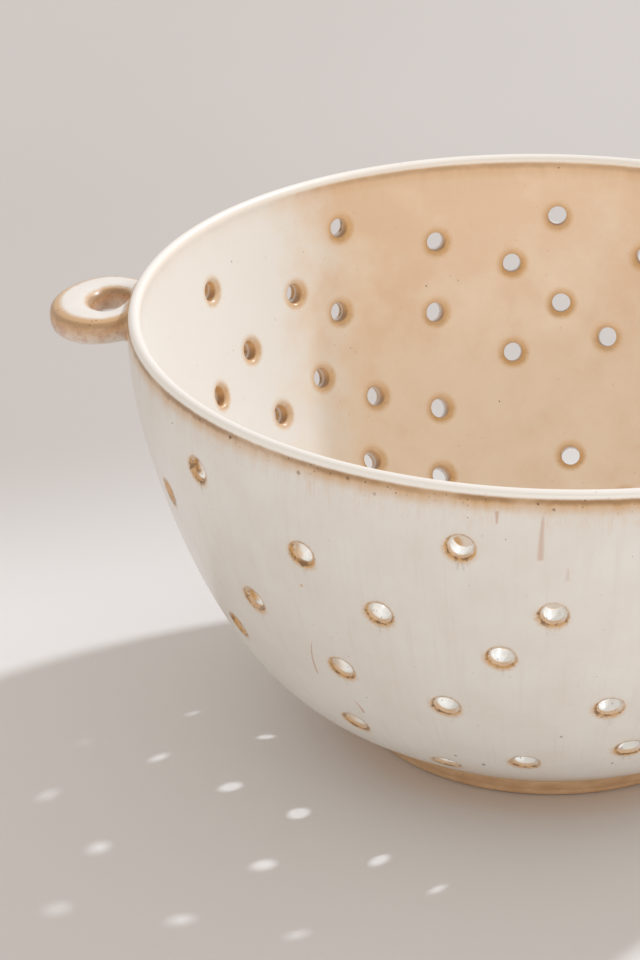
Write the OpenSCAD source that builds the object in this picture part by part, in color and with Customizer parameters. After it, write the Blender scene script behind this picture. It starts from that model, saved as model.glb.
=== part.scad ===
// Berry colander: a thrown stoneware bowl with drain holes all over its wall and floor,
// set on a low turned foot ring, with a flat oval loop luted to each side to lift it by.
// Millimetres, +Z up. The bowl turns about Z, the foot stands on Z = 0 and the loops lie along X.
// Each piece ends where the next one starts, as leather-hard clay is cut to fit before it is joined.

/* [Bowl] */
// Diameter over the lip
rim_d = 180; // [160:5:200]
// Height from the table to the top of the lip
bowl_h = 95.5; // [88:0.5:104]
// Thickness of the rounded lip
lip_t = 2.5; // [2:0.1:3]
// Thickness of the floor
floor_t = 5; // [4:0.5:6]

/* [Foot] */
// Diameter where the foot ring meets the bowl
foot_d = 89; // [84:1:94]
// Height of the foot ring
foot_h = 6; // [4:0.5:8]
// Diameter of the hollow under the bowl
foot_bore_d = 66; // [58:1:66]
// Radius of the worn edges that stand on the table
foot_edge_r = 2.4; // [1:0.2:2.6]
// How far the foot's side slopes in from the bowl down to its worn edge
foot_slope = 3.6; // [2:0.2:4.4]

/* [Drain holes] */
// Diameter of a drain hole
drain_d = 5.2; // [4:0.2:5.6]
// Width of the softened edge round each mouth of a hole
drain_edge = 0.5; // [0.2:0.1:0.8]
// Number of holes on the floor's circle, besides the one in the middle
floor_holes = 6; // [4:1:8]
// Diameter of that circle
floor_circle_d = 38; // [30:1:46]
// Turn of that circle about the bowl's axis
floor_turn = 15; // [0:5:60]

/* [Loops] */
// How far a loop stands out from the wall
loop_reach = 19.7; // [17:0.1:22]
// Width of a loop across the bowl's side
loop_w = 27.6; // [24:0.2:32]
// Thickness of a loop
loop_t = 6.2; // [5:0.2:7.5]
// Length of the eye, across the bowl's side
eye_w = 11; // [9:0.2:12]
// Width of the eye, measured out from the wall
eye_reach = 7.4; // [6:0.2:8]
// Depth of a loop's top face below the top of the lip
loop_drop = 3.3; // [2.5:0.1:8]
// Angle by which a loop droops outwards
loop_droop = 3.6; // [0:0.2:10]

/* [Hidden] */
$fn = 72;

glaze_colour = [0.87, 0.84, 0.79];
clay_colour = [0.69, 0.55, 0.39];

rim_r = rim_d / 2;
lip_r = lip_t / 2;
foot_r = foot_d / 2;
foot_bore_r = foot_bore_d / 2;
drain_r = drain_d / 2;
floor_z = foot_h + floor_t;
lip_z = bowl_h - lip_r;

// Points along each side of the wall, round the lip, the foot's edges and a drain hole
wall_steps = 26;
lip_steps = 8;
edge_steps = 6;
drain_sides = 48;
// Points at which the wall's thickness is looked for
wall_probes = 200;

// A drill cutter runs this far past each mouth of its hole
cutter_over = 3;
// How far the inner curve's lowest control point lies under the floor, to blend floor into wall
floor_sweep = 4.4;
// The foot's inner edge is less worn than its outer one
bore_edge_r = foot_edge_r * 0.6;
// Angle at which the worn outer edge meets the foot's side
worn_to = 350;
// The loops' wall line, a little under the lip, from which their reach is counted
loop_wall_r = rim_r - 1.3;
// Width of the clay left between the eye and the wall
eye_web = 2.9;
// How far a loop's outer oval reaches back into the wall, where it is cut off
loop_sunk = 2.8;
// How much a loop thickens towards the wall, where its ends are smoothed on to the bowl
root_swell = 1.8;
// Roundness of a loop's section: 2 is an oval, higher is squarer
section_power = 3.4;
loop_steps = 56;
section_steps = 20;

// Control points of the wall's outer curve, from the foot up to the lip
outer_control = [
    [foot_r, foot_h],
    [rim_r * 0.683, bowl_h * 0.188],
    [rim_r * 0.761, bowl_h * 0.136],
    [rim_r * 1.028, bowl_h * 0.733],
    [rim_r, lip_z]
];
// Control points of the inner curve, from the middle of the floor up to the lip
inner_control = [
    [0, floor_z],
    [rim_r * 0.437, floor_z],
    [rim_r * 0.702, floor_z - floor_sweep],
    [rim_r * 0.794, bowl_h * 0.387],
    [rim_r * 0.944, bowl_h * 0.754],
    [rim_r - lip_t, lip_z]
];

// The wall's drain holes, which the potter set by eye in loose sweeps that fall to the right.
// Each is [turn in degrees from +X, height of its outer mouth in millimetres].
front_left = [
    [-96, 82], [-138, 81], [-119, 72], [-151, 67], [-108, 62], [-132, 53], [-91, 55], [-117, 43],
    [-143, 39], [-100, 39], [-120, 25], [-104, 17], [-163, 42], [-167, 59], [-170, 76], [-166, 24],
    [-148, 17], [-130, 14], [-166, 11]
];
front_right = [
    [-84, 67], [-75, 41], [-70, 27], [-88, 22], [-54, 80], [-67, 57], [-40, 70], [-53, 45], [-26, 62],
    [-38, 35], [-23, 80], [-56, 31], [-13, 47], [-39, 19], [-23, 24], [-6, 31], [-68, 76], [-14, 13]
];
back_right = [
    [81, 73], [86, 54], [20, 80], [38, 74], [54, 82], [67, 70], [28, 63], [47, 63], [12, 61], [60, 54],
    [19, 47], [38, 47], [73, 43], [51, 38], [28, 33], [64, 28], [10, 22], [45, 22], [78, 20], [28, 13],
    [61, 13]
];
back_left = [
    [95, 81], [130, 83], [158, 80], [114, 76], [140, 71], [102, 70], [132, 64], [152, 63], [94, 61],
    [115, 60], [163, 58], [138, 51], [102, 50], [149, 47], [128, 44], [116, 39], [132, 31], [91, 28],
    [118, 25], [168, 43], [178, 60], [151, 30], [182, 36], [104, 17], [142, 18], [163, 22], [178, 20],
    [122, 12]
];
drain_places = concat(front_left, front_right, back_right, back_left);

// A Bezier curve of any order at the share t of its length, by halving the control polygon
function bezier(ctrl, t) =
    len(ctrl) == 1
        ? ctrl[0]
        : bezier([for (i = [0:len(ctrl) - 2]) ctrl[i] * (1 - t) + ctrl[i + 1] * t], t);

// The curve's direction there, from the differences of its control points
function bezier_way(ctrl, t) =
    let (d = bezier([for (i = [0:len(ctrl) - 2]) ctrl[i + 1] - ctrl[i]], t))
    d / norm(d);

// The share of a rising curve at which it reaches the height z
function share_at(ctrl, z, low = 0, high = 1, tries = 24) =
    let (mid = (low + high) / 2)
    tries == 0
        ? mid
        : bezier(ctrl, mid)[1] < z
            ? share_at(ctrl, z, mid, high, tries - 1)
            : share_at(ctrl, z, low, mid, tries - 1);

// Points of an arc about the centre c
function arc(c, r, from, to, steps) =
    [for (i = [0:steps]) let (a = from + (to - from) * i / steps) c + r * [cos(a), sin(a)]];

outer_line = [for (i = [0:wall_steps]) bezier(outer_control, i / wall_steps)];
inner_line = [for (i = [0:wall_steps]) bezier(inner_control, i / wall_steps)];
lip_line = arc([rim_r - lip_r, lip_z], lip_r, 0, 180, lip_steps);

// Thickness of the wall, measured square to its outer face at the point p
function wall_at(p) = min([for (i = [0:wall_probes]) norm(bezier(inner_control, i / wall_probes) - p)]);

// Everything inside the wall's outer face, as one turned solid
module bowl_blank() {
    rotate_extrude()
        polygon(concat([[0, foot_h]], outer_line, [for (i = [1:lip_steps]) lip_line[i]], [[0, lip_z]]));
}

module bowl_shell() {
    rotate_extrude()
        polygon(concat(
            [[0, foot_h]],
            outer_line,
            [for (i = [1:lip_steps - 1]) lip_line[i]],
            [for (i = [wall_steps:-1:0]) inner_line[i]]
        ));
}

// A cutter along +X whose origin is the middle of a hole's outer mouth. It opens at 45 degrees
// where the drill breaks the surface on either side, as the edge is sponged soft there.
module drain_cutter(wall) {
    flare = drain_r + drain_edge + cutter_over;
    rotate([0, 90, 0])
        rotate_extrude($fn = drain_sides)
            polygon([
                [0, cutter_over],
                [flare, cutter_over],
                [drain_r, -drain_edge],
                [drain_r, drain_edge - wall],
                [flare, -wall - cutter_over],
                [0, -wall - cutter_over]
            ]);
}

// A cutter set square to the wall
module wall_drain(turn, height) {
    t = share_at(outer_control, height);
    p = bezier(outer_control, t);
    way = bezier_way(outer_control, t);
    lean = atan2(way[0], way[1]);
    rotate([0, 0, turn])
        translate([p[0], 0, p[1]])
            rotate([0, lean, 0])
                drain_cutter(wall_at(p));
}

module floor_drain(turn, r) {
    rotate([0, 0, turn])
        translate([r, 0, foot_h])
            rotate([0, 90, 0])
                drain_cutter(floor_t);
}

module bowl() {
    color(glaze_colour)
        difference() {
            bowl_shell();
            for (place = drain_places)
                wall_drain(place[0], place[1]);
            floor_drain(0, 0);
            for (i = [0:floor_holes - 1])
                floor_drain(i * 360 / floor_holes + floor_turn, floor_circle_d / 2);
        }
}

module foot_ring() {
    bore_edge = [foot_bore_r + bore_edge_r, bore_edge_r];
    worn_edge = [foot_r - foot_slope - foot_edge_r, foot_edge_r];
    color(clay_colour)
        rotate_extrude()
            polygon(concat(
                [[foot_bore_r, foot_h]],
                arc(bore_edge, bore_edge_r, 180, 270, edge_steps),
                arc(worn_edge, foot_edge_r, 270, worn_to, edge_steps),
                [[foot_r, foot_h]]
            ));
}

// A rounded section's own coordinates, from -1 to 1 each way
function squared(v) = sign(v) * pow(abs(v), 2 / section_power);

// The loop, lying flat along +X with its middle plane at Z = 0 and the wall at X = 0: a ring between
// two ovals, the outer one further out than the eye, whose section is a rounded oblong.
module loop_ring() {
    outer_half = [(loop_reach + loop_sunk) / 2, loop_w / 2];
    outer_mid = loop_reach - outer_half[0];
    eye_half = [eye_reach / 2, eye_w / 2];
    eye_mid = eye_web + eye_half[0];
    ring = [
        for (i = [0:loop_steps - 1])
            let (
                a = 360 * i / loop_steps,
                out = [outer_mid + outer_half[0] * cos(a), outer_half[1] * sin(a)],
                eye = [eye_mid + eye_half[0] * cos(a), eye_half[1] * sin(a)],
                half_t = loop_t / 2 + root_swell / 2 * pow(max(0, -cos(a)), 3)
            )
            for (j = [0:section_steps - 1])
                let (
                    b = 360 * j / section_steps,
                    p = (out + eye) / 2 + (out - eye) / 2 * squared(cos(b))
                )
                [p[0], p[1], half_t * squared(sin(b))]
    ];
    faces = [
        for (i = [0:loop_steps - 1], j = [0:section_steps - 1])
            let (
                i2 = (i + 1) % loop_steps,
                j2 = (j + 1) % section_steps,
                a = i * section_steps + j,
                b = i2 * section_steps + j,
                c = i2 * section_steps + j2,
                d = i * section_steps + j2
            )
            each [[a, c, b], [a, d, c]]
    ];
    polyhedron(points = ring, faces = faces, convexity = 6);
}

// A loop in its place on the +X side, cut to the bowl's outer face where it is luted on
module loop_in_place() {
    difference() {
        translate([loop_wall_r, 0, bowl_h - loop_drop - loop_t / 2])
            rotate([0, loop_droop, 0])
                loop_ring();
        bowl_blank();
    }
}

module left_handle() {
    color(glaze_colour)
        rotate([0, 0, 180])
            loop_in_place();
}

module right_handle() {
    color(glaze_colour)
        loop_in_place();
}

bowl();
foot_ring();
left_handle();
right_handle();
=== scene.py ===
"""Berry colander: glaze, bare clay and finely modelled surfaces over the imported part, in metres, +Z up.

The wall of the bowl is one surface of revolution whose grid is drawn in to a circle round every drain
hole, and each hole is a tube from its outer mouth to its inner one.
"""

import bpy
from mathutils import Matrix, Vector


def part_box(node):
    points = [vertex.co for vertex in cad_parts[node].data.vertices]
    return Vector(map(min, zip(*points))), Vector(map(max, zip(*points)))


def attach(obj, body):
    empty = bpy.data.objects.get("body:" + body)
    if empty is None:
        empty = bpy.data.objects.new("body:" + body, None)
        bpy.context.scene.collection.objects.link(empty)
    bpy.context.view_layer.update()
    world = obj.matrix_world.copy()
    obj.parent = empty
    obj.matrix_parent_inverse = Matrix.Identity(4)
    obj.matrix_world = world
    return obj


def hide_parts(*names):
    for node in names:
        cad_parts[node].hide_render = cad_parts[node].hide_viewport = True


bl_info = {
    "name": "Berry Colander",
    "version": (1, 0, 0),
    "blender": (4, 5, 0),
    "location": "3D View > Sidebar > Colander",
    "description": "Builds a glazed stoneware berry colander round its packed part",
    "category": "Add Mesh",
}

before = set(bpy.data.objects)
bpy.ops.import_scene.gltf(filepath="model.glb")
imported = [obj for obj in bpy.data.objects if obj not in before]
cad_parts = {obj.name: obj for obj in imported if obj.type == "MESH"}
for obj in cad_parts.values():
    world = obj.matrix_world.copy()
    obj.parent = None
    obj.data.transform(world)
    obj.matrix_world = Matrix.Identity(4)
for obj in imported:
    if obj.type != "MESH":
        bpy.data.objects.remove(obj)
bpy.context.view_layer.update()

import math
from types import SimpleNamespace

import bpy
import numpy as np
from bpy.props import FloatProperty, FloatVectorProperty, IntProperty, PointerProperty
from mathutils import Matrix, Vector

BOWL_LOW, BOWL_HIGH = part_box("bowl")
FOOT_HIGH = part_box("foot_ring")[1]

MM = 0.001
TAU = 2 * math.pi

# The wall's drain holes: turn from +X in degrees, and height of the outer mouth in metres
FRONT_LEFT = (
    (-96, .082), (-138, .081), (-119, .072), (-151, .067), (-108, .062), (-132, .053), (-91, .055),
    (-117, .043), (-143, .039), (-100, .039), (-120, .025), (-104, .017), (-163, .042), (-167, .059),
    (-170, .076), (-166, .024), (-148, .017), (-130, .014), (-166, .011),
)
FRONT_RIGHT = (
    (-84, .067), (-75, .041), (-70, .027), (-88, .022), (-54, .080), (-67, .057), (-40, .070), (-53, .045),
    (-26, .062), (-38, .035), (-23, .080), (-56, .031), (-13, .047), (-39, .019), (-23, .024), (-6, .031),
    (-68, .076), (-14, .013),
)
BACK_RIGHT = (
    (81, .073), (86, .054), (20, .080), (38, .074), (54, .082), (67, .070), (28, .063), (47, .063),
    (12, .061), (60, .054), (19, .047), (38, .047), (73, .043), (51, .038), (28, .033), (64, .028),
    (10, .022), (45, .022), (78, .020), (28, .013), (61, .013),
)
BACK_LEFT = (
    (95, .081), (130, .083), (158, .080), (114, .076), (140, .071), (102, .070), (132, .064), (152, .063),
    (94, .061), (115, .060), (163, .058), (138, .051), (102, .050), (149, .047), (128, .044), (116, .039),
    (132, .031), (91, .028), (118, .025), (168, .043), (178, .060), (151, .030), (182, .036), (104, .017),
    (142, .018), (163, .022), (178, .020), (122, .012),
)
WALL_DRAINS = FRONT_LEFT + FRONT_RIGHT + BACK_RIGHT + BACK_LEFT

# Cells round the bowl, which its floor's square grid shares out in four, and the length of a cell on the wall
COLUMNS = 288
CELL = 1.8 * MM
LIP_CELLS = 12
# Inside this radius the floor and the underside are square grids drawn out into discs
DISC_R = 36 * MM
# The circle that the grid is drawn in to round a hole, and half the width of the block of cells taken out
COLLAR_R = 4.0 * MM
BLOCK_HALF = 3.6 * MM
BLOCK_ROWS = 2
DISC_BLOCK = 3
# Rings of a hole: round each softened edge, and down the bore between them
EDGE_RINGS = 4
BORE_RINGS = 3
# Grid of a loop: round its ring, and round its section
RING_CELLS = 176
SECTION_CELLS = 48
# Length of a cell on the foot ring, and the shortest stretch of its profile that has cells
FOOT_CELL = 0.45 * MM
SHORTEST = 1e-7
# Points on each of the bowl's curves, on the outer face when a gap to it is found, and on an arc
CURVE_STEPS = 1500
FACE_STEPS = 1200
ARC_STEPS = 64
# How often a point is slid over a face to its place round a hole
SLIDES = 5
# More than any distance
FAR = 1e9
# What the meshes keep on their points, for the glaze to read
BOWL_VALUES = ("lip", "across", "up", "deep", "gap", "luck", "inner", "wall")
LOOP_VALUES = ("side", "top", "root")
# The clear coat of both glazes
GLAZE_COAT = 0.25
COAT_ROUGHNESS = 0.12

# The stage: half the floor's side, and what the lamps face and from how far
FLOOR_REACH = 6.0
LAMP_AIM = Vector((0, 0, 0.05))
LAMP_DISTANCE = 3.0
# Each lamp's azimuth and elevation in degrees and its colour, the sun's width in degrees and the fill's sides
SUN_FROM, SUN_TINT, SUN_WIDTH = (49.5, 44.5), (0.885, 0.925, 1.0), 3.2
FILL_FROM, FILL_TINT, FILL_SIDES = (-70, 9), (1.0, 0.97, 0.93), (2.8, 1.0)
# The camera, fitted to the photograph: where it stands, where it looks, its turn about its axis and its lens
CAMERA_AT = (0.0761654, -0.8705746, 0.4716)
CAMERA_AHEAD = (-0.1293369, 0.8931186, -0.4308261)
CAMERA_ROLL = math.radians(0.23)
CAMERA_LENS = 168.75

# Runs of glaze, most of them on the front: turn, lean, top, bottom, half-width and strength
RUNS = (
    (-85.6, -0.3, 91.6, 80.4, 0.66, 0.48), (-91.4, 0.0, 87.9, 90.9, 0.4, 0.6),
    (-121.2, -1.9, 48.8, 38.2, 0.26, 0.7), (-117.3, 0.9, 33.6, 29.8, 0.36, 0.8),
    (-82.4, 0.0, 79.0, 75.6, 0.45, 0.22), (-63.0, 0.4, 70.0, 64.0, 0.4, 0.3),
    (35.0, -0.4, 66.0, 58.0, 0.5, 0.4), (112.0, 0.5, 86.0, 80.0, 0.5, 0.45),
    (158.0, -0.6, 52.0, 44.0, 0.35, 0.5),
)
# Single iron spots, most of them on the front: turn, height, radius and strength
SPOTS = (
    (-100.9, 21.6, 0.40, 0.8), (-96.0, 19.2, 0.55, 0.7), (-82.0, 31.9, 0.40, 0.5), (-72.1, 21.3, 0.40, 0.7),
    (-84.4, 91.9, 0.45, 0.7), (-118.3, 91.2, 0.60, 0.6), (-130.1, 93.0, 0.55, 0.9),
    (-111.0, 93.0, 0.50, 0.6), (-107.2, 91.0, 0.50, 0.4), (60.0, 88.0, 0.50, 0.7),
    (146.0, 24.0, 0.55, 0.7), (15.0, 36.0, 0.50, 0.7),
)


def bezier(control, share):
    """A Bezier curve at the given shares: neighbouring control points are blended until one is left."""
    points = np.repeat(np.asarray(control, float)[:, None, :], len(share), axis=1)
    while len(points) > 1:
        points = points[:-1] * (1 - share)[:, None] + points[1:] * share[:, None]
    return points[0]


def arc(centre, radius, start, end):
    """Points of an arc in the profile's plane, with its angles in degrees."""
    a = np.radians(np.linspace(start, end, ARC_STEPS))
    return np.stack([centre[0] + radius * np.cos(a), centre[1] + radius * np.sin(a)], -1)


def smooth(x):
    """0 below 0, 1 above 1 and an S-curve between them."""
    x = np.clip(x, 0, 1)
    return x * x * (3 - 2 * x)


class Line:
    """A turned profile as dense (radius, height) points, read by the way along it."""

    def __init__(self, *parts):
        self.points = np.concatenate([parts[0]] + [part[1:] for part in parts[1:]])
        self.ways = np.concatenate([[0], np.cumsum(np.hypot(*np.diff(self.points, axis=0).T))])
        ends = np.cumsum([len(parts[0])] + [len(part) - 1 for part in parts[1:]]) - 1
        self.joints = self.ways[ends]

    def at(self, way):
        return np.interp(way, self.ways, self.points[:, 0]), np.interp(way, self.ways, self.points[:, 1])

    def normal(self, way):
        """The direction that faces out of the clay, square to the line."""
        reach = 0.2 * MM
        (r0, z0), (r1, z1) = self.at(way - reach), self.at(way + reach)
        size = np.hypot(r1 - r0, z1 - z0)
        return (z1 - z0) / size, (r0 - r1) / size

    def turned(self, turn, way):
        """Points of the turned surface."""
        r, z = self.at(way)
        return np.stack(np.broadcast_arrays(r * np.cos(turn), r * np.sin(turn), z), -1)


class Skin:
    """Gathers vertices, the values kept on them and faces, as whole arrays, and makes a mesh of them."""

    def __init__(self, *names):
        self.points = []
        self.values = {name: [] for name in names}
        self.faces = []
        self.count = 0

    def add(self, points, **values):
        """Adds an array of points of any shape, and returns their numbers in that shape."""
        shape = points.shape[:-1]
        size = int(np.prod(shape))
        self.points.append(points.reshape(-1, 3))
        for name, kept in self.values.items():
            kept.append(np.broadcast_to(values.get(name, 0.0), shape).reshape(-1))
        self.count += size
        return np.arange(self.count - size, self.count).reshape(shape)

    def face(self, *corners):
        """Adds faces whose corners, in turn, are these arrays of vertex numbers."""
        self.faces.append(np.stack([np.ravel(c) for c in corners], -1))

    def wrap(self, rows, closed=False):
        """Joins rows of vertices, each of which runs round and closes on itself, to the next row."""
        after = np.roll(rows, -1, axis=1)
        if closed:
            self.face(rows, after, np.roll(after, -1, axis=0), np.roll(rows, -1, axis=0))
        else:
            self.face(rows[:-1], after[:-1], after[1:], rows[1:])

    def build(self, name, material):
        points = np.concatenate(self.points)
        corners = np.concatenate([f.ravel() for f in self.faces])
        sizes = np.concatenate([np.full(len(f), f.shape[1]) for f in self.faces])
        used, corners = np.unique(corners, return_inverse=True)
        mesh = bpy.data.meshes.new(name)
        mesh.vertices.add(len(used))
        mesh.vertices.foreach_set("co", points[used].astype(np.float32).ravel())
        mesh.loops.add(len(corners))
        mesh.loops.foreach_set("vertex_index", corners.ravel().astype(np.int32))
        mesh.polygons.add(len(sizes))
        mesh.polygons.foreach_set("loop_start", (np.cumsum(sizes) - sizes).astype(np.int32))
        mesh.update(calc_edges=True)
        mesh.shade_smooth()
        for key, kept in self.values.items():
            layer = mesh.attributes.new(key, "FLOAT", "POINT")
            layer.data.foreach_set("value", np.concatenate(kept)[used].astype(np.float32))
        mesh.materials.append(material)
        piece = bpy.data.objects.new(name, mesh)
        bpy.context.scene.collection.objects.link(piece)
        return piece


def block_place(i, j, half_i, half_j):
    """For corners counted from a block's middle: how many half-blocks out they lie, and their angle on the
    circle that the block is drawn out to. Each quarter of the block's edge takes a quarter of the turn."""
    u, v = np.broadcast_arrays(i / half_i, j / half_j)
    across = np.abs(u) >= np.abs(v)
    by_u = np.pi / 4 * v / np.where(u == 0, 1, u) + np.where(u < 0, np.pi, 0)
    by_v = np.sign(v) * np.pi / 2 - np.pi / 4 * u / np.where(v == 0, 1, v)
    return np.maximum(np.abs(u), np.abs(v)), np.where(across, by_u, by_v)


def block_walk(half_i, half_j):
    """The corners round a block, anticlockwise from its lower right, and their angles on the circle."""
    si, sj = np.arange(-half_i, half_i), np.arange(-half_j, half_j)
    i = np.concatenate([np.full(2 * half_j, half_i), -si, np.full(2 * half_j, -half_i), si])
    j = np.concatenate([sj, np.full(2 * half_i, half_j), -sj, np.full(2 * half_i, -half_j)])
    turned = np.pi / 4 * np.concatenate([sj / half_j, si / half_i, sj / half_j, si / half_i])
    quarter = np.repeat([0, 1, 2, 3], [2 * half_j, 2 * half_i, 2 * half_j, 2 * half_i])
    return i, j, turned + np.pi / 2 * quarter


def collar(i, j, half_i, half_j):
    """For a grid's corners, counted from a block's middle: how far out they lie, how strongly they are drawn
    in to the circle round the hole there, and the distances across and up that they are drawn to."""
    out, angle = block_place(i[:, None], j[None, :], half_i, half_j)
    reach = COLLAR_R * out
    return out, 1 - smooth(out - 1), reach * np.cos(angle), reach * np.sin(angle)


class Drain:
    """A hole: where its axis leaves the outer face, the ways across and up that face, and its shape."""

    def __init__(self, size, rng, centre, axis, across, wall, half_i, half_j):
        self.centre = centre
        self.axis = axis
        self.across = across
        self.up = np.cross(axis, across)
        self.wall = wall
        self.half_i, self.half_j = half_i, half_j
        self.radius = size.drain_radius * rng.uniform(0.97, 1.03)
        self.edge = size.drain_edge * rng.uniform(0.85, 1.15)
        self.luck = rng.uniform()
        self.oval = rng.uniform(0.0, 0.025), rng.uniform(0, TAU)
        self.three = rng.uniform(0.0, 0.014), rng.uniform(0, TAU)
        i, j, angle = block_walk(half_i, half_j)
        back = (2 * half_j - np.arange(len(i))) % len(i)
        self.outer_walk = i, j
        self.inner_walk = i[back], j[back]
        gap = (np.roll(angle, -1) - angle) % TAU
        self.angle = np.stack([angle, angle + gap / 2], -1).ravel()

    def rings(self, skin, outer, inner, outer_edge, inner_edge):
        """The hole's tube. At each mouth its radius is r + e - e sin(a) and its depth e (1 - cos(a)), for a
        from 0 to 90 degrees, which rounds the edge; straight rings join the two mouths. outer and inner give
        the faces' points, with their lip values, for distances across and up; the edges are the vertices
        round the blocks."""
        a = np.radians(np.linspace(0, 90, EDGE_RINGS + 1))[:, None]
        wander = (1 + self.oval[0] * np.cos(2 * self.angle - self.oval[1])
                  + self.three[0] * np.cos(3 * self.angle - self.three[1]))
        rho = (self.radius + self.edge * (1 - np.sin(a))) * wander
        gap = np.concatenate([rho, np.repeat(rho[-1:], BORE_RINGS, 0), rho[::-1]])
        depth = self.edge * (1 - np.cos(a)) + 0 * rho
        across, up = rho * np.cos(self.angle), rho * np.sin(self.angle)
        top, top_lip = outer(across, up)
        foot, foot_lip = inner(across, up)
        top = top - depth[..., None] * self.axis
        foot = (foot + depth[..., None] * self.axis)[::-1]
        share = np.arange(1, BORE_RINGS + 1)[:, None] / (BORE_RINGS + 1)
        bore = top[-1] + (foot[0] - top[-1]) * share[..., None]
        half = np.linalg.norm(foot[0] - top[-1], axis=-1) / 2
        deep = np.concatenate([depth, depth[-1] + half * (1 - np.abs(2 * share - 1)), depth[::-1]])
        straight = np.repeat(across[-1:], BORE_RINGS, 0), np.repeat(up[-1:], BORE_RINGS, 0)
        ring = skin.add(
            np.concatenate([top, bore, foot]),
            lip=np.concatenate([top_lip, top_lip[-1] + 0 * share, foot_lip[::-1]]) / MM,
            across=np.concatenate([across, straight[0], across[::-1]]) / MM,
            up=np.concatenate([up, straight[1], up[::-1]]) / MM,
            deep=deep / MM,
            gap=gap / MM,
            luck=self.luck,
            inner=np.concatenate([0 * depth, share + 0 * straight[0], 0 * depth + 1]),
            wall=self.wall,
        )
        skin.wrap(ring)
        first, last = ring[0], ring[-1]
        skin.face(outer_edge, np.roll(outer_edge, -1), np.roll(first[::2], -1), first[1::2], first[::2])
        skin.face(last[::2], last[1::2], np.roll(last[::2], -1), np.roll(inner_edge, -1), inner_edge)


def bowl_line(size):
    """The bowl's profile: under the floor, up the outer curve, over the lip and down the inner curve."""
    rim, height, lip = size.rim_radius, BOWL_HIGH.z, size.lip_thickness / 2
    under, floor = BOWL_LOW.z, BOWL_LOW.z + size.floor_thickness
    share = np.linspace(0, 1, CURVE_STEPS)
    outer = bezier([
        (size.foot_radius, under), (rim * 0.683, height * 0.188), (rim * 0.761, height * 0.136),
        (rim * 1.028, height * 0.733), (rim, height - lip),
    ], share)
    inner = bezier([
        (0, floor), (rim * 0.437, floor), (rim * 0.702, floor - size.floor_sweep),
        (rim * 0.794, height * 0.387), (rim * 0.944, height * 0.754), (rim - 2 * lip, height - lip),
    ], share)
    below = np.array([(DISC_R, under), (size.foot_radius, under)])
    over = arc((rim - lip, height - lip), lip, 0, 180)
    return Line(below, outer, over, inner[::-1])


def bowl_rows(line):
    """The rows of the wall's grid, as ways along the profile, closer together at the corner and the lip."""
    corner, lip_start, lip_end = line.joints[:3]
    floor = np.interp(-DISC_R, -line.points[line.ways > lip_end][:, 0], line.ways[line.ways > lip_end])
    crisp = 0.05 * MM
    soft = 0.35 * MM

    def spread(start, end):
        return np.linspace(start, end, round((end - start) / CELL) + 1)

    return np.concatenate([
        spread(0, corner - soft), [corner - crisp, corner + crisp], spread(corner + soft, lip_start),
        np.linspace(lip_start, lip_end, LIP_CELLS + 1)[1:], spread(lip_end, floor)[1:],
    ])


def disc_grid():
    """A square grid drawn out into a disc: x = R u sqrt(1 - v^2 / 2) and y = R v sqrt(1 - u^2 / 2), with u
    and v spaced so that the edge's corners lie at equal angles. Also the places of those corners, in turn."""
    side = COLUMNS // 4
    step = np.sqrt(2) * np.sin(np.pi / 4 * (2 * np.arange(side + 1) / side - 1))
    u, v = np.meshgrid(step, step, indexing="ij")
    spot = (np.arange(COLUMNS) + side // 2) % COLUMNS
    quarter, way = spot // side, spot % side
    none, full = 0 * way, 0 * way + side
    edge = (np.choose(quarter, [full, side - way, none, way]),
            np.choose(quarter, [way, full, side - way, none]))
    return DISC_R * u * np.sqrt(1 - v * v / 2), DISC_R * v * np.sqrt(1 - u * u / 2), edge


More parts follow.
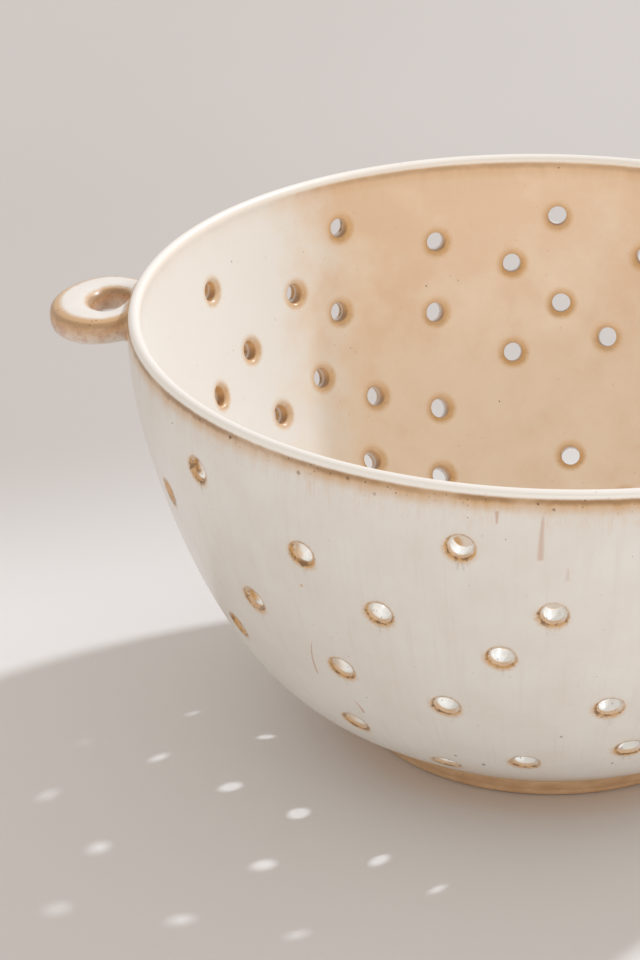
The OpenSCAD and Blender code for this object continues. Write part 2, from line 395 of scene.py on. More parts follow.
class Wall:
    """The turned wall as a grid of corners round (turn) and along the profile (way). It is drawn in round
    each hole, and loses a block of cells there."""

    def __init__(self, size, rng, line):
        self.line = line
        corner, lip_start, lip_end = line.joints[:3]
        self.lip_start, self.lip_end = lip_start, lip_end
        self.lip_top = (lip_start + lip_end) / 2
        self.rows = bowl_rows(line)
        self.within = line.ways > lip_end
        self.outside = (line.ways > corner) & (line.ways < lip_start)
        self.step = TAU / COLUMNS
        self.turn = np.repeat(np.arange(COLUMNS)[:, None] * self.step, len(self.rows), 1)
        self.way = np.repeat(self.rows[None, :], COLUMNS, 0)
        self.cells = np.ones((COLUMNS, len(self.rows) - 1), bool)
        self.nearest = np.full(self.turn.shape, FAR)
        self.mouths = [self.drill(size, rng, degrees, height) for degrees, height in WALL_DRAINS]

    def drill(self, size, rng, degrees, height):
        """Draws the grid in round a hole's mouths. Returns the hole, its turn, its ways and its blocks."""
        line, rows, step = self.line, self.rows, self.step
        spin = math.radians(degrees) % TAU
        out_way = np.interp(height, line.points[self.outside][:, 1], line.ways[self.outside])
        (r0, z0), (nr, nz) = line.at(out_way), line.normal(out_way)
        offset = line.points[self.within] - (r0, z0)
        rise, run = offset @ (-nz, nr), offset @ (nr, nz)
        # The stretch of the inner face that the hole's axis can meet
        close = (np.abs(rise) < 3 * MM) & (np.abs(run) < 12 * MM)
        in_way = np.interp(0, -rise[close], line.ways[self.within][close])
        width = (r0 + line.at(in_way)[0]) / 2 * step
        half_i = max(2, round(BLOCK_HALF / width))
        c, s = math.cos(spin), math.sin(spin)
        drain = Drain(size, rng, np.array([r0 * c, r0 * s, z0]), np.array([nr * c, nr * s, nz]),
                      np.array([-s, c, 0.0]), 1.0, half_i, BLOCK_ROWS)
        column = round(spin / step)
        i = (np.arange(COLUMNS) - column + COLUMNS // 2) % COLUMNS - COLUMNS // 2
        places = []
        for face_way in (out_way, in_way):
            row = int(np.argmin(np.abs(rows - face_way)))
            j = np.arange(len(rows)) - row
            out, pull, wide, high = collar(i, j, half_i, BLOCK_ROWS)
            near = (out < 2) & (out < self.nearest)
            if (self.nearest[out <= 1] <= 1).any():
                raise ValueError(f"The hole at {degrees} degrees, {height} m stands too close to another")
            self.nearest[near] = out[near]
            plain = (column + i[:, None]) * step + 0 * out
            drawn = spin + wide / line.at(self.way)[0]
            self.turn = np.where(near, plain + pull * (drawn - plain), self.turn)
            self.way = np.where(near, rows + pull * (face_way + high - rows), self.way)
            taken_i, taken_j = (i >= -half_i) & (i < half_i), (j[:-1] >= -BLOCK_ROWS) & (j[:-1] < BLOCK_ROWS)
            self.cells &= ~(taken_i[:, None] & taken_j)
            places.append((column, row))
        return drain, spin, out_way, in_way, places

    def values(self):
        """What the glaze reads at each corner: among others, its distances from the nearest hole's middle."""
        way, radius = self.way, self.line.at(self.way)[0]
        across, up, luck, best = (np.full(way.shape, value) for value in (30 * MM, 30 * MM, 0.5, FAR))
        for drain, spin, out_way, in_way, places in self.mouths:
            dx = ((self.turn - spin + np.pi) % TAU - np.pi) * radius
            dy = np.where(way < self.lip_top, way - out_way, in_way - way)
            far = np.hypot(dx, dy)
            nearer = far < best
            best = np.where(nearer, far, best)
            across, up = np.where(nearer, dx, across), np.where(nearer, dy, up)
            luck = np.where(nearer, drain.luck, luck)
        inner = np.clip((way - self.lip_start) / (self.lip_end - self.lip_start), 0, 1)
        wall = np.where(way < self.lip_top, 1, smooth((radius - DISC_R) / (12 * MM)))
        return {"lip": (self.lip_top - way) / MM, "across": across / MM, "up": up / MM, "gap": best / MM,
                "luck": luck, "inner": inner, "wall": wall}

    def mouth(self, drain, spin, face_way, sign):
        """The points of a face for distances across and up a hole, with their distances from the lip."""
        def face(wide, high):
            # Slides points over the face until, seen along the hole, they lie as far across and up as asked
            angle = spin + wide / self.line.at(face_way)[0]
            along = face_way + sign * high
            for _ in range(SLIDES):
                gap = self.line.turned(angle, along) - drain.centre
                angle = angle + (wide - gap @ drain.across) / self.line.at(along)[0]
                along = along + sign * (high - gap @ drain.up)
            return self.line.turned(angle, along), self.lip_top - along
        return face

    def add_to(self, skin):
        """Adds the wall and its holes to a skin, and returns the numbers of its corners."""
        numbers = skin.add(self.line.turned(self.turn, self.way), **self.values())
        after, cells = np.roll(numbers, -1, axis=0), self.cells
        skin.face(numbers[:, :-1][cells], after[:, :-1][cells], after[:, 1:][cells], numbers[:, 1:][cells])
        for drain, spin, out_way, in_way, places in self.mouths:
            edges = [
                numbers[(column + i) % COLUMNS, row + j]
                for (i, j), (column, row) in zip((drain.outer_walk, drain.inner_walk), places)
            ]
            outer, inner = self.mouth(drain, spin, out_way, 1), self.mouth(drain, spin, in_way, -1)
            drain.rings(skin, outer, inner, *edges)
        return numbers


def add_floor(skin, size, rng, wall, numbers):
    """The floor and the underside: two square grids drawn out into discs that share the wall's last and first
    rows, with a hole in the middle and a circle of them round it."""
    flat_x, flat_y, edge = disc_grid()
    cells = np.ones((len(flat_x) - 1, len(flat_x) - 1), bool)
    circle = size.floor_turn + np.arange(size.floor_drains) * TAU / size.floor_drains
    spots = [(0.0, 0.0)]
    spots += [(size.floor_circle * math.cos(a), size.floor_circle * math.sin(a)) for a in circle]
    x, y = flat_x.copy(), flat_y.copy()
    index = np.arange(len(flat_x))
    drains = []
    for cx, cy in spots:
        a, b = np.unravel_index(np.argmin(np.hypot(flat_x - cx, flat_y - cy)), flat_x.shape)
        out, pull, wide, high = collar(index - a, index - b, DISC_BLOCK, DISC_BLOCK)
        x = np.where(out < 2, flat_x + pull * (cx + wide - flat_x), x)
        y = np.where(out < 2, flat_y + pull * (cy + high - flat_y), y)
        cells[a - DISC_BLOCK:a + DISC_BLOCK, b - DISC_BLOCK:b + DISC_BLOCK] = False
        middle, down, right = np.array([cx, cy, BOWL_LOW.z]), np.array([0, 0, -1.0]), np.array([1.0, 0, 0])
        drain = Drain(size, rng, middle, down, right, 0.0, DISC_BLOCK, DISC_BLOCK)
        drains.append((drain, a, b))
    gap = np.stack([np.hypot(x - cx, y - cy) for cx, cy in spots])
    pick = np.argmin(gap, 0)
    spot_x, spot_y = np.array(spots)[pick].transpose(2, 0, 1)
    luck = np.array([drain.luck for drain, a, b in drains])[pick]
    inner_r, inner_z = wall.line.points[wall.within][::-1].T

    def on_floor(px, py):
        return np.stack([px, py, np.interp(np.hypot(px, py), inner_r, inner_z)], -1)

    def under_floor(px, py):
        return np.stack([px, py, 0 * px + BOWL_LOW.z], -1)

    far_in, far_out = (wall.lip_top - wall.rows[-1]) / MM, (wall.lip_top - wall.rows[0]) / MM
    kept = dict(across=(x - spot_x) / MM, up=(y - spot_y) / MM, gap=gap.min(0) / MM, luck=luck)
    floor = skin.add(on_floor(x, y), lip=far_in, inner=1.0, **kept)
    under = skin.add(under_floor(x, y), lip=far_out, inner=0.0, **kept)
    floor[edge], under[edge] = numbers[:, -1], numbers[:, 0]
    for face, order in ((floor, (0, 1, 2, 3)), (under, (0, 3, 2, 1))):
        corners = face[:-1, :-1][cells], face[1:, :-1][cells], face[1:, 1:][cells], face[:-1, 1:][cells]
        skin.face(*(corners[turn] for turn in order))
    for drain, a, b in drains:
        def outer(wide, high, middle=drain.centre):
            return under_floor(middle[0] + wide, middle[1] - high), 0 * wide + far_out * MM

        def inner(wide, high, middle=drain.centre):
            return on_floor(middle[0] + wide, middle[1] - high), 0 * wide + far_in * MM

        (i, j), (back_i, back_j) = drain.outer_walk, drain.inner_walk
        drain.rings(skin, outer, inner, under[a + i, b - j], floor[a + back_i, b + back_j])


def make_bowl(size, material):
    """The wall is the turned profile P(turn, way) = (r cos, r sin, z), the floor and the underside are discs
    that share its first and last rows, and every hole is a tube between two blocks taken out of them."""
    rng = np.random.default_rng(7)
    wall = Wall(size, rng, bowl_line(size))
    skin = Skin(*BOWL_VALUES)
    add_floor(skin, size, rng, wall, wall.add_to(skin))
    return skin.build("glazed_bowl", material)


def wall_gap(line, points):
    """How far points stand clear of the bowl's outer face, and the direction out of that face there."""
    corner, lip_start, lip_end = line.joints[:3]
    ways = np.linspace(corner, lip_start, FACE_STEPS)
    (r, z), (nr, nz) = line.at(ways), line.normal(ways)
    flat = np.hypot(points[..., 0], points[..., 1])
    near = np.argmin((flat[..., None] - r) ** 2 + (points[..., 2:3] - z) ** 2, axis=-1)
    gap = (flat - r[near]) * nr[near] + (points[..., 2] - z[near]) * nz[near]
    out = points[..., :2] / flat[..., None]
    return gap, np.concatenate([out * nr[near][..., None], nz[near][..., None]], -1)


def make_loop(size, line, name, half_turn, material):
    """A ring between two ovals whose section is a squared oval: with p and q the outer and the eye's oval at
    the same angle, a point is (p + q) / 2 + (p - q) / 2 s(cos b), raised by half the thickness times
    s(sin b), where s(v) = sign(v) |v|^(2 / n). Close to the wall it swells out in a quarter circle, and
    inside the wall it is drawn up to just under the glaze."""
    a = np.arange(RING_CELLS)[:, None] * TAU / RING_CELLS
    b = np.arange(SECTION_CELLS)[None, :] * TAU / SECTION_CELLS

    def squared(v):
        return np.sign(v) * np.abs(v) ** (2 / size.section_power)

    outer_half = (size.reach + size.sunk) / 2
    outer_x, outer_y = size.reach - outer_half + outer_half * np.cos(a), size.width / 2 * np.sin(a)
    eye_x = size.eye_web + size.eye_reach / 2 * (1 + np.cos(a))
    eye_y = size.eye_width / 2 * np.sin(a)
    side, top = squared(np.cos(b)), squared(np.sin(b))
    half = size.thickness / 2 + size.root_swell / 2 * np.maximum(0, -np.cos(a)) ** 3
    # Hand-pulled clay: the section wavers a little round the ring
    half = half * (1 + 0.02 * np.sin(2 * a + 0.7) + 0.015 * np.sin(5 * a + 2.1))
    x = (outer_x + eye_x) / 2 + (outer_x - eye_x) / 2 * side
    y = (outer_y + eye_y) / 2 + (outer_y - eye_y) / 2 * side
    z = half * top
    c, s = math.cos(size.droop), math.sin(size.droop)
    points = np.stack([
        size.wall_radius + x * c + z * s, y, BOWL_HIGH.z - size.drop - size.thickness / 2 - x * s + z * c,
    ], -1)

    round_way = np.roll(points, -1, 0) - np.roll(points, 1, 0)
    section_way = np.roll(points, -1, 1) - np.roll(points, 1, 1)
    out = np.cross(round_way, section_way)
    out /= np.linalg.norm(out, axis=-1, keepdims=True)
    gap, wall = wall_gap(line, points)
    fillet = size.fillet
    swell = fillet * (1 - np.sqrt(1 - (1 - np.clip(gap / fillet, 0, 1)) ** 2))
    slide = out - (out * wall).sum(-1, keepdims=True) * wall
    points = points + swell[..., None] * slide
    gap, wall = wall_gap(line, points)
    buried = 0.25 * MM
    points = points + np.maximum(0, -buried - gap)[..., None] * wall
    if half_turn:
        points = points * (-1, -1, 1)

    skin = Skin(*LOOP_VALUES)
    numbers = skin.add(points, side=side + 0 * a, top=top + 0 * a, root=np.clip(gap, -1 * MM, 1) / MM)
    skin.face(numbers, np.roll(numbers, -1, 0), np.roll(numbers, (-1, -1), (0, 1)), np.roll(numbers, -1, 1))
    return skin.build(name, material)


def make_foot(size, foot_radius, material):
    """The ring's profile turned about Z: down the bore, round two worn edges and up the sloped side."""
    height = FOOT_HIGH.z
    inner_edge, outer_edge = size.edge_radius * 0.6, size.edge_radius
    low = arc((size.bore_radius + inner_edge, inner_edge), inner_edge, 180, 270)
    worn = arc((foot_radius - size.slope - outer_edge, outer_edge), outer_edge, 270, 350)
    bore_top, side_top = (size.bore_radius, height), (foot_radius, height)
    line = Line(
        np.array([bore_top, low[0]]), low, np.array([low[-1], worn[0]]), worn,
        np.array([worn[-1], side_top]), np.array([side_top, bore_top]),
    )
    rows = np.concatenate([
        np.linspace(a, b, max(2, round((b - a) / FOOT_CELL)), endpoint=False)
        for a, b in zip(np.concatenate([[0], line.joints[:-1]]), line.joints) if b - a > SHORTEST
    ])
    turn = np.arange(COLUMNS)[:, None] * TAU / COLUMNS
    skin = Skin()
    numbers = skin.add(line.turned(turn, rows[None, :]))
    skin.wrap(numbers.T, closed=True)
    return skin.build("turned_foot", material)


def worked_out(operation, from_right=False):
    """A method of wires that works this out with a node."""
    def method(wire, *others):
        return wire.net.calc(operation, *((*others, wire) if from_right else (wire, *others)))
    return method


class Wire:
    """A value in a node tree. What is done to it adds the nodes that work it out."""

    __add__ = worked_out("ADD")
    __sub__ = worked_out("SUBTRACT")
    __rsub__ = worked_out("SUBTRACT", from_right=True)
    __mul__ = worked_out("MULTIPLY")
    __truediv__ = worked_out("DIVIDE")
    __rtruediv__ = worked_out("DIVIDE", from_right=True)
    __abs__ = worked_out("ABSOLUTE")
    over = worked_out("MAXIMUM")

    def __init__(self, net, socket):
        self.net, self.socket = net, socket

    def length(self):
        return self.net.node("ShaderNodeVectorMath", {0: self}, operation="LENGTH")["Value"]

    def parts(self):
        made = self.net.node("ShaderNodeSeparateXYZ", {0: self})
        return made[0], made[1], made[2]

    def fade(self, start, end, low=0.0, high=1.0):
        """low at start, high at end and an S-curve between them. start may be the larger one."""
        span = {"Value": self, "From Min": start, "From Max": end, "To Min": low, "To Max": high}
        return self.net.node("ShaderNodeMapRange", span, interpolation_type="SMOOTHSTEP")[0]

    def mix(self, first, second):
        """The first number where this is 0, the second where it is 1."""
        return self.net.node("ShaderNodeMix", {0: self, 2: first, 3: second}, data_type="FLOAT")[0]


class Net:
    """Writes a node tree. Each call adds a node, whose inputs are numbers, vectors, colours or wires."""

    def __init__(self, tree):
        self.tree = tree

    def join(self, socket, value):
        if isinstance(value, Wire):
            self.tree.links.new(value.socket, socket)
        elif socket.type == "RGBA":
            socket.default_value = (*value, 1.0)
        else:
            socket.default_value = value

    def node(self, kind, inputs=(), **settings):
        """Adds a node, and returns its outputs by number and by name."""
        made = self.tree.nodes.new(kind)
        for key, value in settings.items():
            setattr(made, key, value)
        for key, value in dict(inputs).items():
            self.join(made.inputs[key], value)
        wires = [Wire(self, socket) for socket in made.outputs]
        return dict(enumerate(wires)) | {wire.socket.name: wire for wire in wires}

    def calc(self, operation, *values):
        """A Math node, or a Vector Math node where one of the values is a vector."""
        flat = [v.socket.type == "VALUE" if isinstance(v, Wire) else np.isscalar(v) for v in values]
        kind = "ShaderNodeMath" if all(flat) else "ShaderNodeVectorMath"
        return self.node(kind, enumerate(values), operation=operation)[0]

    def blend(self, share, first, second):
        """From the first colour to the second, by this share."""
        return self.node("ShaderNodeMix", {0: share, 6: first, 7: second}, data_type="RGBA")[2]

    def layers(self, body, *layers):
        """A colour with others laid over it in turn, each by its share."""
        for share, tint in layers:
            body = self.blend(share, body, tint)
        return body

    def noise(self, place, size, detail=3.0, rough=0.55, kind="Fac"):
        """Noise whose features are about this many millimetres wide, round 0.5."""
        inputs = {"Vector": place, "Scale": 1 / size, "Detail": detail, "Roughness": rough}
        return self.node("ShaderNodeTexNoise", inputs)[kind]

    def kept(self, name):
        """A value that the mesh keeps on its points."""
        return self.node("ShaderNodeAttribute", attribute_name=name)["Fac"]

    def group(self, name, **inputs):
        """One of the shared groups, which is made where it is first used."""
        tree = bpy.data.node_groups.get(name) or GROUPS[name]()
        return self.node("ShaderNodeGroup", inputs, node_tree=tree)

    def specks(self, place, spacing, size, share):
        return self.group("Iron specks", Place=place, Spacing=spacing, Size=size, Share=share)["Mask"]


def new_group(name, inputs, outputs):
    """An empty node group with these named sockets, and a writer, its inputs and its outputs."""
    tree = bpy.data.node_groups.new(name, "ShaderNodeTree")
    for label, value in inputs.items():
        kind = "NodeSocketVector" if value is None else "NodeSocketFloat"
        socket = tree.interface.new_socket(label, in_out="INPUT", socket_type=kind)
        if value is not None:
            socket.default_value = value
    for label in outputs:
        tree.interface.new_socket(label, in_out="OUTPUT", socket_type="NodeSocketFloat")
    net = Net(tree)
    return net, net.node("NodeGroupInput"), tree.nodes.new("NodeGroupOutput").inputs


def speck_group():
    """Iron specks: round spots of random size about random points, in a share of a pattern's cells."""
    net, given, result = new_group(
        "Iron specks", {"Place": None, "Spacing": 3.0, "Size": 0.25, "Share": 0.4}, ["Mask"])
    ragged = net.noise(given["Place"], 0.6, 2.0, kind="Color") + (-0.5, -0.5, -0.5)
    place = given["Place"] + ragged * (0.35, 0.35, 0.35)
    cell = net.node("ShaderNodeTexVoronoi", {"Vector": place, "Scale": 1.0 / given["Spacing"]})
    chance = net.node("ShaderNodeSeparateColor", {0: cell["Color"]})
    size = given["Size"] * chance[0].fade(0.0, 1.0, 0.35, 1.0)
    spot = (cell["Distance"] * given["Spacing"]).fade(size, size * 0.35)
    net.join(result["Mask"], spot * net.calc("LESS_THAN", chance[1], given["Share"]))
    return net.tree


def glaze_group():
    """The skin of a satin glaze: slow pooling, fine orange peel and a finer grain, as a height in
    millimetres, and a roughness that follows them."""
    net, given, result = new_group("Glaze skin", {"Place": None, "Roughness": 0.3}, ["Height", "Roughness"])
    pool = net.noise(given["Place"], 14.0, 3.0)
    peel = net.noise(given["Place"], 1.3, 3.0, 0.6)
    fine = net.noise(given["Place"], 0.35, 2.0, 0.6)
    net.join(result["Height"], pool * 0.22 + peel * 0.018 + fine * 0.004)
    net.join(result["Roughness"], given["Roughness"] + (peel - 0.5) * 0.12 + (pool - 0.5) * 0.1)
    return net.tree


def round_axis(net, place):
    """The turn of a place in degrees, the millimetres that a degree takes up there, and its height."""
    x, y, height = place.parts()
    turn = net.calc("ARCTAN2", y, x) * math.degrees(1)
    return turn, (place * (1, 1, 0)).length() * math.radians(1), height


def run_group():
    """A run of glaze down the wall, as a mask: a stroke that widens and bends as it goes down. Turn and Lean
    are in degrees; Top and Bottom are heights and Wide is its half-width at the bottom, in millimetres."""
    net, given, result = new_group("Glaze run", {
        "Place": None, "Turn": 0.0, "Lean": 0.0, "Top": 90.0, "Bottom": 80.0, "Wide": 0.5}, ["Mask"])
    turn, reach, height = round_axis(net, given["Place"])
    way = (given["Top"] - height) / (given["Top"] - given["Bottom"])
    bend = given["Lean"] * (way * (2.0 - way))
    off = abs(turn - (given["Turn"] + bend)) * reach
    ragged = (net.noise(given["Place"], 1.2, 3.0) - 0.5) * 0.35
    half = given["Wide"] * way.fade(0.0, 1.0, 0.45, 1.0)
    width = (off + ragged * given["Wide"]).fade(half * 1.5, half * 0.3)
    net.join(result["Mask"], width * (way.fade(0.0, 0.25) * way.fade(1.04, 0.97)))
    return net.tree


def spot_group():
    """A ragged spot on the wall, as a mask. Turn is in degrees; Height and Size are in millimetres."""
    net, given, result = new_group(
        "Iron spot", {"Place": None, "Turn": 0.0, "Height": 50.0, "Size": 0.5}, ["Mask"])
    turn, reach, height = round_axis(net, given["Place"])
    off, rise = (turn - given["Turn"]) * reach, height - given["Height"]
    ragged = (net.noise(given["Place"], 0.5, 2.0) - 0.5) * given["Size"]
    gap = net.calc("SQRT", off * off + rise * rise) + ragged
    net.join(result["Mask"], gap.fade(given["Size"], given["Size"] * 0.5))
    return net.tree


GROUPS = {
    "Iron specks": speck_group, "Glaze skin": glaze_group, "Glaze run": run_group, "Iron spot": spot_group,
}


def new_material(name, roughness, coat):
    """A material with its writer, its Principled BSDF and the place on the piece in millimetres."""
    material = bpy.data.materials.new(name)
    material.use_nodes = True
    net = Net(material.node_tree)
    shader = material.node_tree.nodes["Principled BSDF"]
    shader.inputs["Roughness"].default_value = roughness
    shader.inputs["Coat Roughness"].default_value = COAT_ROUGHNESS
    shader.inputs["Coat Weight"].default_value = coat
    return material, net, shader, net.node("ShaderNodeTexCoord")["Object"] * (1000, 1000, 1000)


def surface(net, shader, body, roughness, height):
    """Joins a material's colour, its roughness and, as bumps, a height in millimetres."""
    net.join(shader.inputs["Base Color"], body)
    net.join(shader.inputs["Roughness"], roughness)
    bumps = net.node("ShaderNodeBump", {"Height": height, "Distance": MM, "Strength": 1.0})
    net.join(shader.inputs["Normal"], bumps["Normal"])


def bowl_wires(net, place):
    """What the stages of the bowl's glaze share: the values kept on the mesh, places, sides and patterns."""
    at = SimpleNamespace(place=place, **{name: net.kept(name) for name in BOWL_VALUES})
    at.x, at.y, at.height = place.parts()
    # The distance from the axis is evened out, so that a pattern in this place runs straight up the wall
    at.upright = net.calc("NORMALIZE", place * (1, 1, 0)) * (90, 90, 0) + place * (0, 0, 1)
    at.inside = at.inner.fade(0.3, 0.7)
    at.outside = 1.0 - at.inside
    at.left_side = at.x.fade(-15.0, -60.0)
    at.near = at.gap.fade(6.2, 5.2)
    at.mottle = net.noise(place + (31, 7, 3), 13.0, 5.0, 0.6)
    at.streak = net.noise(at.upright * (1, 1, 0.07), 1.7, 3.0, 0.65)
    at.hairs = net.noise(at.upright * (1, 1, 0.12), 0.5, 3.0, 0.7)
    at.grain = net.noise(place, 0.7, 4.0, 0.7) - 0.5
    at.clots = net.noise(place + (12, 3, 60), 1.5, 3.0, 0.6)
    return at


def glaze_body(net, look, at):
    """The body colour, mottled a little by pooling and streaked by running, and where it is cream inside:
    over the left side and the low wall and floor, partly glaze that ran and pooled and partly painted
    sunlight.
    """
    cool = net.layers(
        look.outside, (at.mottle.fade(0.25, 0.8, 0.0, 0.7), look.outside_thin),
        (at.streak.fade(0.48, 0.82, 0.0, 0.65), look.outside_thin),
    )
    thinner = at.mottle + at.height.fade(45.0, 95.0, -0.1, 0.2)
    warm = net.blend(thinner.fade(0.28, 0.74), look.inside, look.inside_thin)
    # Inside, the glaze is cream over the left side and where it pooled on the floor; this cream is partly
    # glaze and partly painted sunlight on the lit wall and floor, against the tan elsewhere
    sway = (at.mottle - 0.5) * 18.0
    poured_and_sunlit = at.x + sway + (at.height - 80.0) * 0.15
    cream = poured_and_sunlit.fade(-52.0, -70.0).over((at.height + sway * 0.5).fade(28.0, 10.0, 0.0, 0.95))
    return net.blend(at.inside, cool, net.blend(cream, warm, look.inside_poured_and_sunlit)), cream


def lip_break(net, at, cream):
    """The lip is cream on its crown, partly the glaze's own white and partly a painted highlight, then breaks
    brown and frays downwards, more faintly inside and where the inside is cream. Returns the shares of the
    brown band, of the band with its tails, of the dark line in it and of the crown."""
    below = abs(at.lip)
    sway = net.noise(at.upright * (1, 1, 0.3), 2.4, 4.0, 0.6) - 0.5
    cloud = net.noise(at.upright + (3, 50, 8), 11.0, 3.0)
    band = (below + sway * 2.6).fade(6.9, 2.6) * cloud.fade(0.3, 0.62, 0.8, 1.0)
    band = band * at.left_side.fade(0.0, 1.0, 1.0, 0.8)
    tail = (below + sway * 14.0).fade(10.0, 3.0) * at.hairs.fade(0.42, 0.62, 0.05, 0.28)
    shown = band.over(tail) * at.inside.mix(0.95, cream.fade(0.0, 0.6, 0.45, 0.1))
    line = abs(below + sway - 2.7).fade(1.2, 0.1) * at.inside.mix(1.0, cream.fade(0.0, 0.6, 0.5, 0.1))
    line = line * cloud.fade(0.3, 0.6, 0.22, 0.6)
    # The crown's share: the pale lip, partly a painted highlight along the crown
    return band, shown, line, (below + sway * 0.2).fade(2.5, 1.8)


def hole_break(at):
    """Round a hole the glaze breaks over the edge in a ragged ring, dark-specked and running down outside,
    golden inside. Returns the shares of the ring and of its dark parts."""
    left_side, luck = at.left_side, at.luck
    under = at.up * -1.0 / at.gap * at.wall - at.across / at.gap * 0.4
    ragged = at.gap + at.grain * 0.8
    flare = ragged.fade(under.fade(-0.9, 0.7, 3.35, 3.8), 3.15)
    flare = flare * at.deep.fade(left_side.mix(0.8, 1.2), left_side.mix(0.4, 0.9))
    full = left_side.mix(under.fade(-0.9, 0.7, 3.1, 2.75), 2.4)
    flare = flare * ragged.fade(left_side.mix(2.45, 1.9), full)
    halo = (at.gap + at.grain * 1.8).fade(4.7, 3.1) * under.fade(-0.3, 0.9, 0.06, 0.7)
    strong = luck.fade(0.0, 1.0, 0.8, 1.0) * under.fade(-0.9, 0.4, 0.55, 1.0)
    inner_ring = ragged.fade(4.3, 2.6) * luck.fade(0.0, 1.0, 0.75, 1.0) * under.fade(-1.0, 0.6, 0.55, 1.0)
    ring = at.inside.mix((flare * strong).over(halo), inner_ring) * at.near
    dark = flare * at.near * at.clots.fade(left_side.mix(0.52, 0.5), left_side.mix(0.64, 0.62), 0.0, 0.9)
    outline = abs(ragged - 2.85).fade(0.3, 0.06) * at.near * at.clots.fade(0.42, 0.56, 0.15, 1.0)
    dark = dark.over(outline) * at.inside.fade(0.0, 1.0, 1.0, 0.15) * under.fade(-0.9, 0.6, 0.3, 0.95)
    return ring, dark


def bore_colour(net, look, at):
    """White glaze in the outer halves of the bores, partly painted sunlight, stained where it faces left;
    brown low down and gold higher up in the inner halves, most of all at the back, partly glaze and partly
    painted shade in the bores.
    """
    lining_and_shade = net.blend((at.up + at.grain * 1.5).fade(-1.6, 0.6), look.bore, look.gold)
    # The inner half of a bore, fully on the back and a tenth on the front: its brown and gold are partly
    # painted shade
    inner_bore_shade = at.inner.fade(0.3, 0.6) * at.y.fade(-20.0, 12.0, 0.1, 1.0)
    stain = (at.across / at.gap).fade(-0.15, -0.85) * at.deep.fade(2.6, 1.2) * at.left_side * at.outside
    stained = net.blend(at.clots.fade(0.45, 0.7, 0.0, 0.9), look.ochre, look.brown)
    return net.blend(inner_bore_shade, net.blend(stain, look.inside_poured_and_sunlit, stained), lining_and_shade)


def iron_layers(net, look, at, crown, breaks):
    """Runs, single iron spots, and iron specks, more of them where the glaze breaks."""
    for turn, lean, top, bottom, wide, strength in RUNS:
        run = net.group("Glaze run", Place=at.place, Turn=turn, Lean=lean, Top=top, Bottom=bottom, Wide=wide)
        yield run["Mask"] * at.outside * strength, look.rust
    for turn, level, size, strength in SPOTS:
        spot = net.group("Iron spot", Place=at.place, Turn=turn, Height=level, Size=size)
        yield spot["Mask"] * at.outside * strength, look.brown
    clean = 1.0 - crown
    yield net.specks(at.place, 3.6, 0.26, 0.3) * clean, look.speck
    yield net.specks(at.place + (2, 40, 7), 2.4, 0.42, 0.3) * 0.22, look.rust
    yield net.specks(at.place + (8, 4, 70), 7.0, 0.6, 0.3) * clean * at.inside.mix(0.75, 0.2), look.ochre
    yield net.specks(at.place + (5, 9, 2), 0.9, 0.3, 0.55) * clean * breaks, look.speck


def bowl_glaze(look):
    """Cream glaze, warm inside. It breaks brown under the lip, round the holes and above the foot."""
    material, net, shader, place = new_material("bowl_glaze", look.roughness, GLAZE_COAT)
    at = bowl_wires(net, place)
    body, cream = glaze_body(net, look, at)
    band, shown, line, crown = lip_break(net, at, cream)
    ring, dark = hole_break(at)
    trail = abs(at.across).fade(1.9, 0.5) * at.up.fade(-3.0, -3.6) * at.near * (at.wall * at.outside)
    trail = trail * at.hairs.fade(0.45, 0.75, 0.0, 0.5)
    # The glaze ends in a brown line just above the foot
    base = at.height - BOWL_LOW.z / MM + at.inside * 40.0
    hem = (base + (net.noise(at.upright, 5.0, 4.0, 0.5) - 0.5) * 2.4).fade(0.3, 3.4, 1.0, 0.0)
    breaks = (band.over(ring) * at.outside).fade(0.2, 0.9, 0.0, 0.9)
    # The pale crown layer is partly a painted highlight, and the bores' colour is partly painted shade and
    # sunlight
    body = net.layers(
        body, (shown, look.ochre), (line, look.brown), (crown, look.lip),
        (ring, net.blend(at.inside, look.ochre, look.gold)), (dark, look.brown),
        (at.deep.fade(0.5, 0.9) * at.near, bore_colour(net, look, at)), (trail, look.trail),
        (hem * 0.8, look.ochre), *iron_layers(net, look, at, crown, breaks),
    )
    skin = net.group("Glaze skin", Place=place, Roughness=look.roughness)
    height = skin["Height"] + shown.over(ring) * -0.05 + at.streak * 0.02
    surface(net, shader, body, skin["Roughness"], height)
    return material


